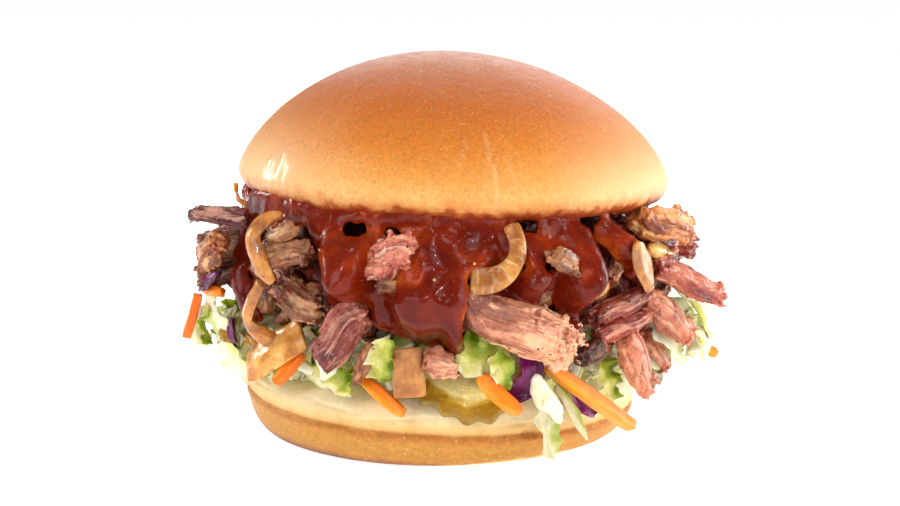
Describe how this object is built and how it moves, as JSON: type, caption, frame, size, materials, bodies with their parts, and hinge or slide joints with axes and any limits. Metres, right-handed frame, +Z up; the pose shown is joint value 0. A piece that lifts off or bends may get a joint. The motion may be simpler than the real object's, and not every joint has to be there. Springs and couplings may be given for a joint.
{
  "type": "smoked brisket sandwich",
  "caption": "Smoked brisket sandwich: a round bun with chopped brisket, barbecue sauce, grilled onion, coleslaw and pickle spilling out, resting on its heel.",
  "frame": {"origin": "middle of the heel's flat underside", "axes": "+Z up through the sandwich, -Y towards its front, +X to the right seen from the front"},
  "size_m": [0.14, 0.1232, 0.0978],
  "materials": {
    "bun_crust": "baked crust, matte on top, shinier and paler towards its rim",
    "bun_cream": "soft pale bread with a baked golden side",
    "sauce": "thick glossy red-brown barbecue sauce",
    "meat_pink": "smoked beef, pink, moist and fibrous",
    "meat_brown": "dark smoked beef bark, moist and rough",
    "onion": "grilled onion, amber, soft and translucent",
    "carrot": "raw orange carrot, cut",
    "red_cabbage": "raw purple cabbage, glossy skin",
    "leaf": "green cabbage leaf, crisp and wet",
    "slaw": "pale shredded cabbage in white dressing",
    "pickle": "olive-green pickle, wet and translucent",
    "dressing": "white creamy dressing, glossy"
  },
  "bodies": {
    "root": {"barbecue_sauce": "sauce", "brisket_centre": "meat_pink", "brisket_centre_low": "meat_brown", "brisket_front_large": "meat_pink", "brisket_front_small": "meat_pink", "brisket_heap": "meat_brown", "brisket_left_block": "meat_brown", "brisket_left_low": "meat_pink", "brisket_left_shreds": "meat_brown", "brisket_left_slice": "meat_brown", "brisket_left_slice_upper": "meat_brown", "brisket_left_tail": "meat_brown", "brisket_left_tip": "meat_brown", "brisket_right_hanging": "meat_pink", "brisket_right_hanging_back": "meat_pink", "brisket_right_knob": "meat_brown", "brisket_right_knob_upper": "meat_brown", "brisket_right_pink": "meat_pink", "brisket_right_point": "meat_pink", "brisket_right_strand_lower": "meat_pink", "brisket_right_strand_upper": "meat_pink", "brisket_right_top": "meat_brown", "bun_crown": "bun_crust", "bun_heel": "bun_cream", "carrot_front_left": "carrot", "carrot_front_long": "carrot", "carrot_front_middle": "carrot", "carrot_left_low": "carrot", "carrot_left_outer": "carrot", "carrot_left_stub": "carrot", "carrot_right_outer": "carrot", "dressing_drop": "dressing", "leaf_front_curl": "leaf", "leaf_front_hanging": "leaf", "leaf_front_left": "leaf", "leaf_front_spike": "leaf", "leaf_front_wide": "leaf", "leaf_left_outer": "leaf", "leaf_right_curl": "leaf", "leaf_right_outer": "leaf", "onion_centre_ring": "onion", "onion_front_square": "onion", "onion_left_long": "onion", "onion_left_loop": "onion", "onion_left_slab": "onion", "onion_right_back": "onion", "onion_right_bent": "onion", "onion_right_drop": "onion", "pickle_front": "pickle", "pickle_left": "pickle", "pickle_right": "pickle", "red_cabbage_front_curl": "red_cabbage", "red_cabbage_left_small": "red_cabbage", "red_cabbage_left_upper": "red_cabbage", "red_cabbage_right_low": "red_cabbage", "red_cabbage_right_small": "red_cabbage", "slaw_heap": "slaw"}
  },
  "joints": []
}
